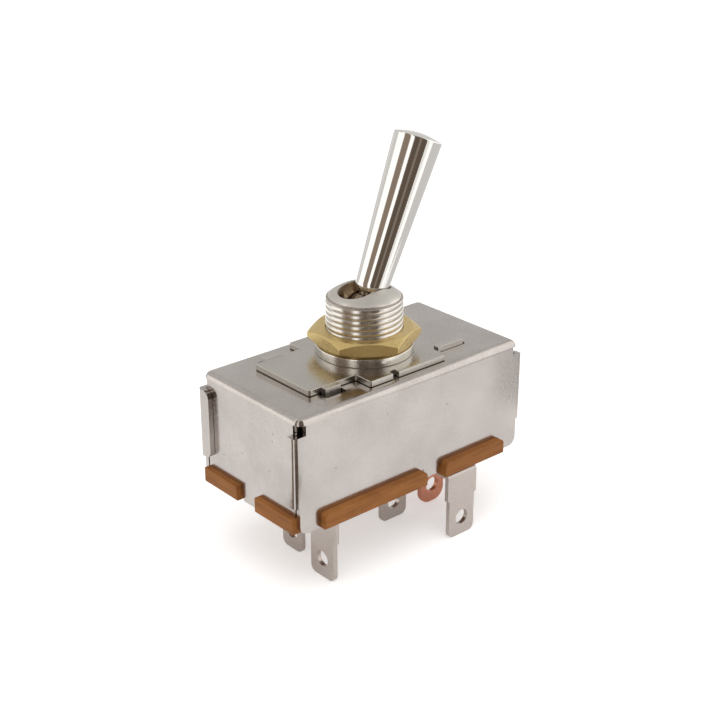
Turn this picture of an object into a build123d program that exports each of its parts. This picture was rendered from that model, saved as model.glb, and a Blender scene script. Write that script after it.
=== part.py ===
from build123d import *
import math
import os

# Heavy-duty metal toggle switch with five blade terminals, in millimetres.
# The origin is the panel seat: the bushing's axis at the top of its shoulder.
# +X runs along the case towards the side that the lever leans to, +Z up the bushing.

# Sheet steel cover
COVER_LENGTH = 44.5
COVER_WIDTH = 23.2
SHEET_T = 0.8
COVER_BEND_R = 1.2
COVER_PLAN_R = 1.3          # top corners, seen from above
NOTCH_DEPTH = 15.8          # cover's top to the top of the notches in its lower edge
NOTCH_CORNER_R = 0.7
CORNER_TAB_WIDTH = 3.7      # lower corner tabs of the long sides
CORNER_TAB_R = 1.4
CENTRE_TAB_X = 3.75         # centre tab of the long sides
CENTRE_TAB_WIDTH = 3.8
TAB_TIP_WIDTH = 2.2
END_TAB_Y = 0.4             # tabs of the ends
END_TAB_WIDTH = 4.3
END_TIP_WIDTH = 3.1
TAB_BEND_DEPTH = 0.8        # how far a crimped tab tip bends inwards
EAR_LENGTH = 2.6            # flanges of the long sides, folded round the ends
EAR_TOP_DROP = 2.6
EAR_BOTTOM_DROP = 13.8
EAR_BEND_R = 0.7
EAR_GAP = 0.05
EAR_CORNER_R = 1.3
SLIT = 0.3                  # between an end wall and the long side beside it
RELIEF_R = 0.95             # bend relief at each top corner
RELIEF_TOP_DROP = 1.0

# Terminal board of brown phenolic
BOARD_T = 2.5
LONG_LIP = 1.15             # how far it stands out of the long sides' notches
END_LIP = 0.85
FIT_GAP = 0.1               # clearance of pieces that are only laid together
LIP_EDGE_R = 0.3

# Stamped plate on the cover's top
PLATE_T = 1.0
PLATE_ARM_LEFT = -16.1
PLATE_ARM_HALF = 6.4
PLATE_LEFT = -7.3
PLATE_RIGHT = 7.9
PLATE_FRONT = -9.8
PLATE_REAR = 9.4
PLATE_CORNER_R = 0.35
PLATE_NOTCH_X = -2.3
PLATE_NOTCH_WIDTH = 1.1
PLATE_NOTCH_DEPTH = 1.1

# Threaded bushing
THREAD_R = 5.95
DOME_R = 9.0                # ball-shaped top of the bushing
DOME_Z = 0.4                 # height of that ball's centre
SHOULDER_R = 7.6
SHOULDER_H = 1.4
NECK_R = 6.2
STAKE_R = 7.0
STAKE_H = 0.5
BORE_R = 2.9
FLARE_R = 5.45             # bore at its lower end, opened for the leaning tail
FLARE_H = 6.0

# Hexagon nut
NUT_AF = 15.2
NUT_T = 2.5
NUT_TOP_FACE_R = 7.4        # flat ring inside the upper chamfer
NUT_TOP_DROP = 0.8          # upper chamfer at the corners
NUT_LOWER_FACE_R = 6.7
NUT_LOWER_RISE = 0.94
NUT_TURN = 24.0             # degrees that a corner stands from +X

# Toggle lever
PIVOT_Z = 5.0
LEVER_LEAN = 23.1           # degrees from upright to either stop
LEVER_LENGTH = 27.05        # pivot to the edge of the domed tip
LEVER_CROWN = 0.7           # height of the dome
LEVER_TIP_R = 3.77
LEVER_ROOT_R = 2.41         # the handle's taper carried on to the pivot
HANDLE_FROM = 4.0           # pivot to the rounded lower end of the handle
HANDLE_END_R = 1.85
LEVER_NECK_R = 1.5
LEVER_TIP_EDGE_R = 0.35
BALL_CLEAR = 0.1
TAIL_R = 1.1
TAIL_BALL_R = 1.7
TAIL_REACH = 13.85          # pivot to the centre of the tail's ball
MOUTH_CLEAR = 0.12          # lever to the bushing's mouth at the stops
PIN_R = 0.8
PIN_HALF = 4.0
PIN_CLEAR = 0.05
RETAINER_R = 2.6            # bore of the ring that keeps the pin in the bushing
RETAINER_T = 1.2
RETAINER_TOP = 3.9

# Mechanism frame under the cover's top
FRAME_T = 1.0
FRAME_HALF_LENGTH = 17.0
FRAME_LEG_HALF = 12.0
EAR_R_X0 = 9.0              # upstanding ears on the right
EAR_R_X1 = 14.4
EAR_R_OUT = 6.95
EAR_R_HEIGHT = 0.9          # above the cover's top
EAR_L_X0 = -13.9            # ears clinched against the plate's arm
EAR_L_X1 = -11.0
EAR_SLOT_END = 0.55
EAR_SLOT_OUT_LEFT = 8.3     # outer side of the left slots, from the middle
SLOT_R = 0.5

# Sliding contact carriage
CARRIAGE_END_GAP = 0.3      # to the cover's end wall at either stop
CARRIAGE_TOP = -6.6
CARRIAGE_FLOOR_GAP = 0.4    # contact faces to the carriage's underside
RAIL_WIDTH = 2.2
RUN_GAP = 0.1               # running clearance of sliding pieces
TAIL_SLOT_CLEAR = 0.15
TAIL_SLOT_DEPTH = 5.0
POCKET_CLEAR = 0.15
BAR_LIFT = 0.5
SPRING_WELL_R = 2.1
SIDE_WALL = 0.3             # carriage beside the front row's wells
SPRING_X = 7.0
SPRING_R = 1.6              # coil's middle line
SPRING_WIRE_R = 0.25
SPRING_TURNS = 4
SPRING_LENGTH = 4.0
NOTCH_CLEAR = 0.15
NOTCH_SLOPE = 1.15          # half width of a detent notch for each mm of its depth

# Contacts
BAR_T = 0.8
CENTRE_ROW_Y = 1.3
FRONT_BAR_END = 1.5         # carriage beyond the end of the front bar
CENTRE_BAR_HALF = 9.5
FRONT_BAR_WIDTH = 3.0
CENTRE_BAR_WIDTH = 4.6
BAR_END_R = 1.0
CONTACT_R = 1.8
CONTACT_H = 0.9
SHANK_R = 1.2
TAIL_HEAD_R = 1.75
TAIL_HEAD_H = 0.55

# Blade terminals
BLADE_T = 0.8
BLADE_W = 5.4
BLADE_SHOULDER = 0.4        # each side, above the step
BLADE_STEP_Z = -25.4
BLADE_TIP_Z = -32.1
BLADE_BEND_R = 0.9
BLADE_HOLE_R = 1.25
BLADE_HOLE_UP = 3.1         # hole's centre above the tip
BLADE_CORNER_R = 1.1
SLIM_W = 4.75               # the rear left blade
COPPER_W = 5.2
COPPER_CORNER_R = 2.1
FRONT_LEFT_X = -15.3        # where each blade stands
FRONT_LEFT_Y = -7.9
FRONT_RIGHT_X = 9.4
CENTRE_LEFT_X = -13.7
CENTRE_LEFT_Y = 1.4
CENTRE_X = 4.7
CENTRE_RIGHT_X = 13.2
CENTRE_BLADE_Y = -2.0
LEFT_REACH = 3.9            # blade to rivet, along the feet of the two left ones
FOOT_MARGIN = 0.65          # foot beyond its rivet's head

# Detent leaf spring
LEAF_T = 0.4
LEAF_WIDTH = 5.0
LEAF_ROOT_X = 16.4
LEAF_RIVET_X = 14.2
LEAF_NOSE_X = 8.9
LEAF_NOSE_DIP = 0.75        # how deep the nose sits in the carriage's notch
LEAF_HEAD_R = 1.3
LEAF_HEAD_H = 0.5

# Heights worked out from the sizes above
COVER_TOP = -SHOULDER_H - PLATE_T
COVER_UNDER = COVER_TOP - SHEET_T
WEB_UNDER = COVER_UNDER - FRAME_T
BOARD_TOP = COVER_TOP - NOTCH_DEPTH
BOARD_UNDER = BOARD_TOP - BOARD_T
FOOT_UNDER = BOARD_UNDER - BLADE_T
CONTACT_TOP = BOARD_TOP + CONTACT_H
BAR_UNDER = CONTACT_TOP + RUN_GAP
BAR_TOP = BAR_UNDER + BAR_T
CARRIAGE_UNDER = CONTACT_TOP + CARRIAGE_FLOOR_GAP
POCKET_TOP = BAR_TOP + BAR_LIFT + 2 * RUN_GAP
WELL_TOP = BAR_TOP + SPRING_LENGTH
BALL_R = BORE_R - BALL_CLEAR
LEAN = math.radians(LEVER_LEAN)
CARRIAGE_X = -TAIL_REACH * math.sin(LEAN)
IN_HALF_LENGTH = COVER_LENGTH / 2 - SHEET_T
IN_HALF_WIDTH = COVER_WIDTH / 2 - SHEET_T
FRAME_HALF_WIDTH = IN_HALF_WIDTH - FIT_GAP
CARRIAGE_HALF_WIDTH = FRAME_HALF_WIDTH - FRAME_T - RUN_GAP
FRONT_ROW_Y = -(CARRIAGE_HALF_WIDTH - SIDE_WALL - SPRING_WELL_R)
CARRIAGE_HALF_LENGTH = IN_HALF_LENGTH - CARRIAGE_END_GAP + CARRIAGE_X
FRONT_BAR_HALF = CARRIAGE_HALF_LENGTH - FRONT_BAR_END


def block(x0, x1, y0, y1, z0, z1):
    """A box between two corners."""
    centre = Pos((x0 + x1) / 2, (y0 + y1) / 2, (z0 + z1) / 2)
    return centre * Box(x1 - x0, y1 - y0, z1 - z0)


def rod(radius, z0, z1, x=0.0, y=0.0):
    """An upright cylinder."""
    return Pos(x, y, (z0 + z1) / 2) * Cylinder(radius, z1 - z0)


def turned(points):
    """A solid of revolution about Z from its (radius, height) outline."""
    return revolve(Plane.XZ * make_face(Polyline(*points, close=True)), Axis.Z)


def across_y(points, y0, y1):
    """A profile of (x, z) points carried from y0 to y1."""
    face = Plane.XZ * make_face(Polyline(*points, close=True))
    return Pos(0, y1, 0) * extrude(face, y1 - y0)


def across_x(points, x0, x1):
    """A profile of (y, z) points carried from x0 to x1."""
    face = Plane.YZ * make_face(Polyline(*points, close=True))
    return Pos(x0, 0, 0) * extrude(face, x1 - x0)


def rounded(solid, axis, radius, pick=None):
    """Rounds the edges that lie along one axis, or those of them that pick keeps."""
    edges = solid.edges().filter_by(axis)
    if pick:
        edges = edges.filter_by(pick)
    return fillet(edges, radius)


def slot(x0, x1, y0, y1, z0, z1):
    """A cutter for a punched slot with round corners."""
    return rounded(block(x0, x1, y0, y1, z0, z1), Axis.Z, SLOT_R)


# Cover

def cover_ear():
    """The front flange folded round the left end, before its corners are rounded."""
    x0 = -COVER_LENGTH / 2 - EAR_GAP - SHEET_T
    x1 = -COVER_LENGTH / 2 + SHEET_T
    y0 = -COVER_WIDTH / 2
    y1 = y0 + EAR_LENGTH
    z0 = COVER_TOP - EAR_BOTTOM_DROP
    z1 = COVER_TOP - EAR_TOP_DROP
    outer = block(x0, x1, y0, y1, z0, z1)
    outer = rounded(outer, Axis.Z, EAR_BEND_R, lambda e: e.center().X < x0 + 0.01 and e.center().Y < y0 + 0.01)
    ear = outer - block(x0 + SHEET_T, x1 + 1, y0 + SHEET_T, y1 + 1, z0 - 1, z1 + 1)
    return rounded(ear, Axis.X, EAR_CORNER_R, lambda e: e.center().Y > y1 - 0.01)


def centre_tab():
    """The front centre tab: waisted, with its tip crimped in under the board's edge."""
    root = CENTRE_TAB_WIDTH / 2
    tip = TAB_TIP_WIDTH / 2
    face_y = -COVER_WIDTH / 2
    crimp_z = BOARD_UNDER + TAB_BEND_DEPTH
    outline = [
        (CENTRE_TAB_X - root, BOARD_TOP + 1),
        (CENTRE_TAB_X + root, BOARD_TOP + 1),
        (CENTRE_TAB_X + root, BOARD_TOP),
        (CENTRE_TAB_X + tip, crimp_z),
        (CENTRE_TAB_X + tip, BOARD_UNDER),
        (CENTRE_TAB_X - tip, BOARD_UNDER),
        (CENTRE_TAB_X - tip, crimp_z),
        (CENTRE_TAB_X - root, BOARD_TOP),
    ]
    front = across_y(outline, face_y, face_y + SHEET_T + TAB_BEND_DEPTH)
    front = rounded(front, Axis.Y, tip * 0.6, lambda e: e.center().Z < BOARD_UNDER + 0.01)
    section = [
        (face_y, BOARD_TOP + 1),
        (face_y, crimp_z),
        (face_y + TAB_BEND_DEPTH, BOARD_UNDER),
        (face_y + TAB_BEND_DEPTH + SHEET_T * 0.6, BOARD_UNDER + SHEET_T * 0.6),
        (face_y + SHEET_T, crimp_z + SHEET_T * 0.4),
        (face_y + SHEET_T, BOARD_TOP + 1),
    ]
    return front & across_x(section, CENTRE_TAB_X - root, CENTRE_TAB_X + root)


def cover():
    """Drawn steel box, open below, with notches, slits, ears and slots."""
    half_l = COVER_LENGTH / 2
    half_w = COVER_WIDTH / 2
    ear_z = COVER_TOP - EAR_TOP_DROP
    outer = rounded(block(-half_l, half_l, -half_w, half_w, ear_z, COVER_TOP), Axis.Z, COVER_PLAN_R)
    outer = fillet(outer.faces().sort_by(Axis.Z)[-1].edges(), COVER_BEND_R)
    outer += block(-half_l, half_l, -half_w, half_w, BOARD_UNDER, ear_z)
    inner = block(-IN_HALF_LENGTH, IN_HALF_LENGTH, -IN_HALF_WIDTH, IN_HALF_WIDTH, BOARD_UNDER - 1, COVER_UNDER)
    inner = rounded(inner, Axis.Z, COVER_PLAN_R - SHEET_T)
    inner = fillet(inner.faces().sort_by(Axis.Z)[-1].edges(), COVER_BEND_R - SHEET_T)
    shell = outer - inner
    # notches for the board's lips: long sides, then ends
    below = BOARD_UNDER - 1
    tab_left = -half_l + CORNER_TAB_WIDTH
    waist_left = CENTRE_TAB_X - CENTRE_TAB_WIDTH / 2
    waist_right = CENTRE_TAB_X + CENTRE_TAB_WIDTH / 2
    for x0, x1 in ((tab_left, waist_left), (waist_right, -tab_left)):
        notch = block(x0, x1, -half_w - 1, half_w + 1, below, BOARD_TOP)
        shell -= rounded(notch, Axis.Y, NOTCH_CORNER_R, lambda e: e.center().Z > BOARD_TOP - 0.01)
    shell -= block(waist_left - 0.01, waist_right + 0.01, -half_w - 1, half_w + 1, below, BOARD_TOP)
    for side in (-1, 1):
        root_y = END_TAB_Y + side * END_TAB_WIDTH / 2
        tip_y = END_TAB_Y + side * END_TIP_WIDTH / 2
        far_y = side * IN_HALF_WIDTH
        outline = [(root_y, BOARD_TOP), (tip_y, BOARD_UNDER), (tip_y, below), (far_y, below), (far_y, BOARD_TOP)]
        shell -= across_x(outline, -half_l - 1, half_l + 1)
    # slit and bend relief at each corner, then the ears
    ear = cover_ear()
    tab = centre_tab()
    relief_z = COVER_TOP - RELIEF_TOP_DROP
    for sx in (-1, 1):
        for sy in (-1, 1):
            x0, x1 = sorted((sx * (half_l + 1), sx * (IN_HALF_LENGTH - 0.1)))
            y0, y1 = sorted((sy * IN_HALF_WIDTH, sy * (IN_HALF_WIDTH - SLIT)))
            shell -= block(x0, x1, y0, y1, below, relief_z - RELIEF_R)
            relief = rod(RELIEF_R, ear_z, relief_z, sx * (half_l - RELIEF_R / 2), sy * (half_w - RELIEF_R / 2))
            shell -= relief
            piece = ear if sx < 0 else mirror(ear, Plane.YZ)
            shell += piece if sy < 0 else mirror(piece, Plane.XZ)
    shell += tab
    shell += mirror(tab, Plane.XZ)
    # rounded lower outside corners of the corner tabs
    corner_tabs = shell.edges().filter_by(Axis.Y)
    corner_tabs = corner_tabs.filter_by(lambda e: e.center().Z < BOARD_UNDER + 0.01)
    corner_tabs = corner_tabs.filter_by(lambda e: abs(e.center().X) > half_l - 0.01)
    corner_tabs = corner_tabs.filter_by(lambda e: abs(e.center().Y) > IN_HALF_WIDTH)
    shell = fillet(corner_tabs, CORNER_TAB_R)
    # hole for the bushing's neck and slots for the frame's ears
    shell -= rod(NECK_R, COVER_UNDER - 1, COVER_TOP + 1)
    for side in (-1, 1):
        for x0, x1, y0, y1 in ear_slots(side):
            shell -= slot(x0, x1, y0, y1, COVER_UNDER - 1, COVER_TOP + 1)
    return shell


def ear_slots(side):
    """The two slots of one side of the cover's top, as x and y ranges."""
    right = sorted((side * (EAR_R_OUT + FIT_GAP), side * (EAR_R_OUT - FRAME_T - FIT_GAP)))
    left = sorted((side * EAR_SLOT_OUT_LEFT, side * (PLATE_ARM_HALF - FIT_GAP)))
    return [
        (EAR_R_X0 - EAR_SLOT_END, EAR_R_X1 + EAR_SLOT_END, right[0], right[1]),
        (EAR_L_X0 - EAR_SLOT_END, EAR_L_X1 + EAR_SLOT_END, left[0], left[1]),
    ]


# Terminal board

def base_board():
    """Phenolic plate whose lips stand out through the cover's notches."""
    half_l = COVER_LENGTH / 2 + END_LIP
    half_w = COVER_WIDTH / 2 + LONG_LIP
    board = block(-half_l, half_l, -half_w, half_w, BOARD_UNDER, BOARD_TOP)
    # corners cut back behind the corner tabs
    tab_x = COVER_LENGTH / 2 - CORNER_TAB_WIDTH - FIT_GAP
    inside_y = IN_HALF_WIDTH - FIT_GAP / 2
    for sx in (-1, 1):
        for sy in (-1, 1):
            x0, x1 = sorted((sx * tab_x, sx * (half_l + 1)))
            y0, y1 = sorted((sy * inside_y, sy * (half_w + 1)))
            board -= block(x0, x1, y0, y1, BOARD_UNDER - 1, BOARD_TOP + 1)
    # notches for the end tabs
    end_half = END_TAB_WIDTH / 2 + FIT_GAP
    for sx in (-1, 1):
        x0, x1 = sorted((sx * (IN_HALF_LENGTH - FIT_GAP / 2), sx * (half_l + 1)))
        board -= block(x0, x1, END_TAB_Y - end_half, END_TAB_Y + end_half, BOARD_UNDER - 1, BOARD_TOP + 1)
    # notches for the centre tabs, with a bevel under each crimped tip
    root = CENTRE_TAB_WIDTH / 2 + FIT_GAP
    bevel_top = BOARD_UNDER + TAB_BEND_DEPTH + SHEET_T * 0.4 + FIT_GAP
    bevel_in = inside_y - TAB_BEND_DEPTH - 2 * FIT_GAP
    for sy in (-1, 1):
        section = [
            (sy * (half_w + 1), BOARD_TOP + 1),
            (sy * inside_y, BOARD_TOP + 1),
            (sy * inside_y, bevel_top),
            (sy * bevel_in, BOARD_UNDER + SHEET_T * 0.5),
            (sy * bevel_in, BOARD_UNDER - 1),
            (sy * (half_w + 1), BOARD_UNDER - 1),
        ]
        board -= across_x(section, CENTRE_TAB_X - root, CENTRE_TAB_X + root)
    # upper corners of the long lips follow the rounded notches
    corners = board.edges().filter_by(Axis.Y).filter_by(lambda e: e.center().Z > BOARD_TOP - 0.01)
    corners = corners.filter_by(lambda e: abs(e.center().Y) > inside_y)
    board = fillet(corners, NOTCH_CORNER_R)
    lips = board.edges().filter_by(lambda e: e.center().Z < BOARD_UNDER + 0.01)
    lips = lips.filter_by(lambda e: abs(e.center().X) > half_l - 0.01 or abs(e.center().Y) > half_w - 0.01)
    board = fillet(lips, LIP_EDGE_R)
    for x, y in contact_places().values():
        board -= rod(SHANK_R, BOARD_UNDER - 1, BOARD_TOP + 1, x, y)
    return board


# Stamped plate, bushing and nut

def mounting_plate():
    """Stamped plate between the bushing's shoulder and the cover, with one arm."""
    top = COVER_TOP + PLATE_T
    wide = block(PLATE_LEFT, PLATE_RIGHT, PLATE_FRONT, PLATE_REAR, COVER_TOP, top)
    arm = block(PLATE_ARM_LEFT, PLATE_LEFT + 1, -PLATE_ARM_HALF, PLATE_ARM_HALF, COVER_TOP, top)
    plate = rounded(wide + arm, Axis.Z, PLATE_CORNER_R)
    notch_x0 = PLATE_NOTCH_X - PLATE_NOTCH_WIDTH / 2
    notch_x1 = PLATE_NOTCH_X + PLATE_NOTCH_WIDTH / 2
    plate -= block(notch_x0, notch_x1, PLATE_FRONT - 1, PLATE_FRONT + PLATE_NOTCH_DEPTH, COVER_TOP - 1, top + 1)
    plate -= rod(NECK_R, COVER_TOP - 1, top + 1)
    return plate


def lever_envelope():
    """The room that the lever's neck sweeps in the bushing's mouth, with its clearance."""
    reach = DOME_Z + DOME_R - PIVOT_Z + 3
    outline = handle_foot(MOUTH_CLEAR)
    top = outline @ 1
    outline += Polyline(top, (lever_radius(reach) + MOUTH_CLEAR, reach), (0, reach), (0, 0), outline @ 0)
    profile = make_face(outline)
    one_stop = revolve(Plane.XZ * profile, Axis.Z)
    half = Plane.YZ * profile
    start = Rot(0, -LEVER_LEAN, 0) * (half + mirror(half, Plane.XZ))
    room = revolve(start, Axis.Y, 2 * LEVER_LEAN)
    room += Rot(0, LEVER_LEAN, 0) * one_stop
    room += Rot(0, -LEVER_LEAN, 0) * one_stop
    return Pos(0, 0, PIVOT_Z) * room


def bushing():
    """Nickel-plated brass bushing: staked neck, shoulder, threaded barrel, domed top, ball seat and mouth."""
    neck_end = WEB_UNDER
    stake_end = neck_end - STAKE_H
    body = turned([
        (0, stake_end), (STAKE_R, stake_end), (STAKE_R, neck_end), (NECK_R, neck_end),
        (NECK_R, -SHOULDER_H), (SHOULDER_R, -SHOULDER_H), (SHOULDER_R, 0), (0, 0),
    ])
    body += rod(THREAD_R, 0, DOME_Z + DOME_R) & (Pos(0, 0, DOME_Z) * Sphere(DOME_R))
    seat = rod(BORE_R, stake_end - 1, PIVOT_Z) + Pos(0, 0, PIVOT_Z) * Sphere(BORE_R)
    flare = Pos(0, 0, stake_end + FLARE_H / 2) * Cone(FLARE_R, BORE_R, FLARE_H)
    body -= seat
    body -= flare
    # two keyways, open below, for the ends of the pivot pin
    key_r = PIN_R + PIN_CLEAR
    key_half = PIN_HALF + RUN_GAP
    keyway = block(-key_r, key_r, -key_half, key_half, stake_end - 1, PIVOT_Z)
    keyway += Pos(0, 0, PIVOT_Z) * (Rot(90, 0, 0) * Cylinder(key_r, 2 * key_half))
    body -= keyway
    body -= lever_envelope()
    return body


def lever_retainer():
    """Ring pressed into the bushing under the ball and its pin."""
    ring = rod(BORE_R, RETAINER_TOP - RETAINER_T, RETAINER_TOP)
    return ring - rod(RETAINER_R, RETAINER_TOP - RETAINER_T - 1, RETAINER_TOP + 1)


def hex_nut():
    """Brass hexagon nut with both faces chamfered, on the bushing's shoulder."""
    hexagon = extrude(RegularPolygon(NUT_AF / 2, 6, major_radius=False), NUT_T)
    corner_r = NUT_AF / 2 / math.cos(math.pi / 6)
    outline = turned([
        (0, 0), (NUT_LOWER_FACE_R, 0), (corner_r, NUT_LOWER_RISE),
        (corner_r, NUT_T - NUT_TOP_DROP), (NUT_TOP_FACE_R, NUT_T), (0, NUT_T),
    ])
    nut = Rot(0, 0, NUT_TURN) * (hexagon & outline)
    return nut - rod(THREAD_R, -1, NUT_T + 1)


# Toggle lever

def lever_radius(s):
    """Radius of the handle at a distance from the pivot: a straight taper."""
    return LEVER_ROOT_R + (LEVER_TIP_R - LEVER_ROOT_R) * s / LEVER_LENGTH


def handle_foot(extra=0.0):
    """Outline of the neck and the handle's rounded lower end, as radius and distance from the
    pivot, grown by a clearance."""
    centre_r = lever_radius(HANDLE_FROM) - HANDLE_END_R
    round_r = HANDLE_END_R + extra
    neck_r = LEVER_NECK_R + extra
    turn = math.acos((neck_r - centre_r) / round_r)
    low = (neck_r, HANDLE_FROM - round_r * math.sin(turn))
    middle = (centre_r + round_r * math.cos(turn / 2), HANDLE_FROM - round_r * math.sin(turn / 2))
    high = (centre_r + round_r, HANDLE_FROM)
    return Line((neck_r, 0), low) + ThreePointArc(low, middle, high)


def leaning(solid):
    """Moves a piece modelled upright about the pivot to the photographed stop."""
    return Pos(0, 0, PIVOT_Z) * (Rot(0, LEVER_LEAN, 0) * solid)


def toggle_lever():
    """Tapered handle, pivot ball and slender tail, turned as one piece."""
    end = LEVER_LENGTH + LEVER_CROWN
    foot = handle_foot()
    side = Line(foot @ 1, (LEVER_TIP_R, LEVER_LENGTH))
    dome = ThreePointArc((LEVER_TIP_R, LEVER_LENGTH), (LEVER_TIP_R / 2, end - LEVER_CROWN / 4), (0, end))
    middle = Polyline((0, end), (0, 0), foot @ 0)
    handle = revolve(Plane.XZ * make_face(foot + side + dome + middle), Axis.Z)
    tip = handle.edges().filter_by(lambda e: abs(e.center().Z - LEVER_LENGTH) < 0.01)
    handle = fillet(tip, LEVER_TIP_EDGE_R)
    lever = handle + Sphere(BALL_R)
    lever += rod(TAIL_R, -TAIL_REACH, 0)
    lever += Pos(0, 0, -TAIL_REACH) * Sphere(TAIL_BALL_R)
    lever -= Rot(90, 0, 0) * Cylinder(PIN_R, 2 * BORE_R + 2)
    return leaning(lever)


def pivot_pin():
    """Cross pin pressed through the ball; its ends run in the bushing's keyways."""
    pin = Rot(90, 0, 0) * Cylinder(PIN_R, 2 * PIN_HALF)
    pin = chamfer(pin.edges().filter_by(GeomType.CIRCLE), 0.15)
    return Pos(0, 0, PIVOT_Z) * pin


# Mechanism frame and detent

def inner_frame():
    """Steel channel under the cover's top: web, two legs and four ears."""
    web = block(-FRAME_HALF_LENGTH, FRAME_HALF_LENGTH, -FRAME_HALF_WIDTH, FRAME_HALF_WIDTH, WEB_UNDER, COVER_UNDER)
    leg_in = FRAME_HALF_WIDTH - FRAME_T
    for sy in (-1, 1):
        y0, y1 = sorted((sy * leg_in, sy * FRAME_HALF_WIDTH))
        web += block(-FRAME_LEG_HALF, FRAME_LEG_HALF, y0, y1, BOARD_TOP, COVER_UNDER)
    top_edges = web.edges().filter_by(Axis.X).filter_by(lambda e: e.center().Z > COVER_UNDER - 0.01)
    web = fillet(top_edges, FRAME_T * 0.6)
    for sy in (-1, 1):
        y0, y1 = sorted((sy * (EAR_R_OUT - FRAME_T), sy * EAR_R_OUT))
        web += block(EAR_R_X0, EAR_R_X1, y0, y1, WEB_UNDER, COVER_TOP + EAR_R_HEIGHT)
        y0, y1 = sorted((sy * (PLATE_ARM_HALF + FIT_GAP / 2), sy * (PLATE_ARM_HALF + FIT_GAP / 2 + FRAME_T)))
        web += block(EAR_L_X0, EAR_L_X1, y0, y1, WEB_UNDER, COVER_TOP + PLATE_T)
    web -= rod(NECK_R, WEB_UNDER - 1, COVER_UNDER + 1)
    web -= rod(SHANK_R, WEB_UNDER - 1, COVER_UNDER + 1, LEAF_RIVET_X)
    return web


def detent_spring():
    """Bent leaf spring whose nose drops into a notch of the carriage at either stop."""
    nose_z = CARRIAGE_TOP - LEAF_NOSE_DIP
    top = WEB_UNDER
    flat_end = LEAF_RIVET_X - 2.2
    outline = [
        (LEAF_ROOT_X, top),
        (flat_end, top),
        (LEAF_NOSE_X + 1.3, nose_z + 1.6),
        (LEAF_NOSE_X, nose_z + LEAF_T * 1.4),
        (LEAF_NOSE_X - 1.3, nose_z + 1.9),
        (LEAF_NOSE_X - 1.75, nose_z + 1.75),
        (LEAF_NOSE_X, nose_z),
        (LEAF_NOSE_X + 1.6, nose_z + 1.2),
        (flat_end + LEAF_T * 0.6, top - LEAF_T),
        (LEAF_ROOT_X, top - LEAF_T),
    ]
    strip = across_y(outline, -LEAF_WIDTH / 2, LEAF_WIDTH / 2)
    return strip - rod(SHANK_R, WEB_UNDER - 2, WEB_UNDER + 1, LEAF_RIVET_X)


def detent_rivet():
    """Rivet that holds the leaf to the frame's web, flush above."""
    under = WEB_UNDER - LEAF_T
    rivet = rod(SHANK_R, under, COVER_UNDER, LEAF_RIVET_X)
    return rivet + rod(LEAF_HEAD_R + 0.4, under - LEAF_HEAD_H, under, LEAF_RIVET_X)


# Carriage and moving contacts

def contact_rows():
    """The two poles: row's y, bar's half length and bar's width."""
    return {
        "front": (FRONT_ROW_Y, FRONT_BAR_HALF, FRONT_BAR_WIDTH),
        "centre": (CENTRE_ROW_Y, CENTRE_BAR_HALF, CENTRE_BAR_WIDTH),
    }


def carriage():
    """Moulded slider: rails above, socket for the lever's tail, pockets for two bars."""
    half = CARRIAGE_HALF_LENGTH
    wide = CARRIAGE_HALF_WIDTH
    body = block(-half, half, -wide, wide, CARRIAGE_UNDER, CARRIAGE_TOP)
    rail_top = WEB_UNDER - RUN_GAP
    for sy in (-1, 1):
        y0, y1 = sorted((sy * (wide - RAIL_WIDTH), sy * wide))
        body += block(-half, half, y0, y1, CARRIAGE_TOP, rail_top)
    # socket for the tail's ball
    socket_x = TAIL_BALL_R + TAIL_SLOT_CLEAR
    socket_y = TAIL_BALL_R + 2 * TAIL_SLOT_CLEAR
    body -= block(-socket_x, socket_x, -socket_y, socket_y, CARRIAGE_TOP - TAIL_SLOT_DEPTH, CARRIAGE_TOP + 1)
    # pockets and spring wells, open below
    for row_y, bar_half, bar_width in contact_rows().values():
        px = bar_half + POCKET_CLEAR
        py = bar_width / 2 + POCKET_CLEAR
        body -= block(-px, px, row_y - py, row_y + py, CARRIAGE_UNDER - 1, POCKET_TOP)
        for sx in (-1, 1):
            body -= rod(SPRING_WELL_R, POCKET_TOP - 1, WELL_TOP, sx * SPRING_X, row_y)
    # detent notches, one for each stop
    nose_z = CARRIAGE_TOP - LEAF_NOSE_DIP - NOTCH_CLEAR
    for stop_x in (CARRIAGE_X, -CARRIAGE_X):
        x = LEAF_NOSE_X - stop_x
        spread = (CARRIAGE_TOP + 1 - nose_z) * NOTCH_SLOPE
        notch = across_y([(x, nose_z - 0.1), (x + spread, CARRIAGE_TOP + 1), (x - spread, CARRIAGE_TOP + 1)],
                         -LEAF_WIDTH / 2 - NOTCH_CLEAR, LEAF_WIDTH / 2 + NOTCH_CLEAR)
        body -= notch
    return Pos(CARRIAGE_X, 0, 0) * body


def contact_bar(row):
    """Copper bar with rounded corners and bevelled ends, in its row under the carriage."""
    row_y, bar_half, bar_width = contact_rows()[row]
    bar = block(-bar_half, bar_half, -bar_width / 2, bar_width / 2, BAR_UNDER, BAR_TOP)
    bar = rounded(bar, Axis.Z, BAR_END_R)
    under = bar.faces().sort_by(Axis.Z)[0].edges().filter_by(Axis.Y)
    bar = chamfer(under, BAR_T * 0.5)
    return Pos(CARRIAGE_X, row_y, 0) * bar


def contact_spring(row, sx):
    """Coil spring between a bar and the top of its well."""
    row_y = contact_rows()[row][0]
    low = BAR_TOP + SPRING_WIRE_R + 0.03
    high = WELL_TOP - SPRING_WIRE_R - 0.03
    pitch = (high - low) / SPRING_TURNS
    path = Helix(pitch, high - low, SPRING_R)
    start = Plane(path @ 0, z_dir=path % 0)
    coil = sweep(start * Circle(SPRING_WIRE_R), path)
    return Pos(CARRIAGE_X + sx * SPRING_X, row_y, low) * coil


# Terminals and their contact rivets

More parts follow.
